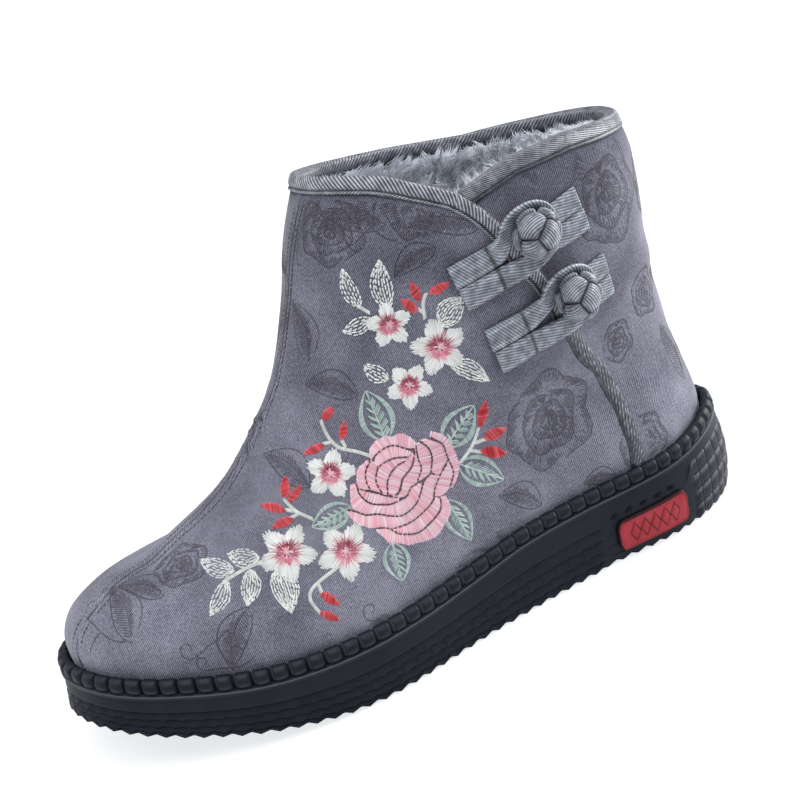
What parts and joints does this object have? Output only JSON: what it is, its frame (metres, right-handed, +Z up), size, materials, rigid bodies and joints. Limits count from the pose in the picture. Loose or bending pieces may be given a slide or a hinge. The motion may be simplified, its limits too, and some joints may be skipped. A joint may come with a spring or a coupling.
{
  "type": "embroidered cotton ankle boot",
  "caption": "Padded cotton ankle boot with a wrap-over flap, ribbon frogs with ball knots, embroidered outer side, plush lining and a thick moulded rubber sole.",
  "frame": {"origin": "bottom centre of the boot's bounding box, on the floor under the sole", "axes": "+X from toe to heel, +Y from the outer side to the inner side, +Z up"},
  "size_m": [0.264, 0.1002, 0.1684],
  "materials": {
    "rubber": "matte moulded",
    "plush": "deep pile",
    "cloth": "jacquard twill",
    "tape": "ribbed satin ribbon",
    "badge": "satin moulded"
  },
  "bodies": {
    "root": {"outsole": "rubber", "insole": "plush", "upper": "cloth", "front_binding": "tape", "back_binding": "tape", "flap_strip": "tape", "frog_upper": "tape", "frog_lower": "tape", "knot_upper": "tape", "knot_lower": "tape", "tail_upper": "tape", "tail_lower": "tape", "heel_badge": "badge"}
  },
  "joints": []
}
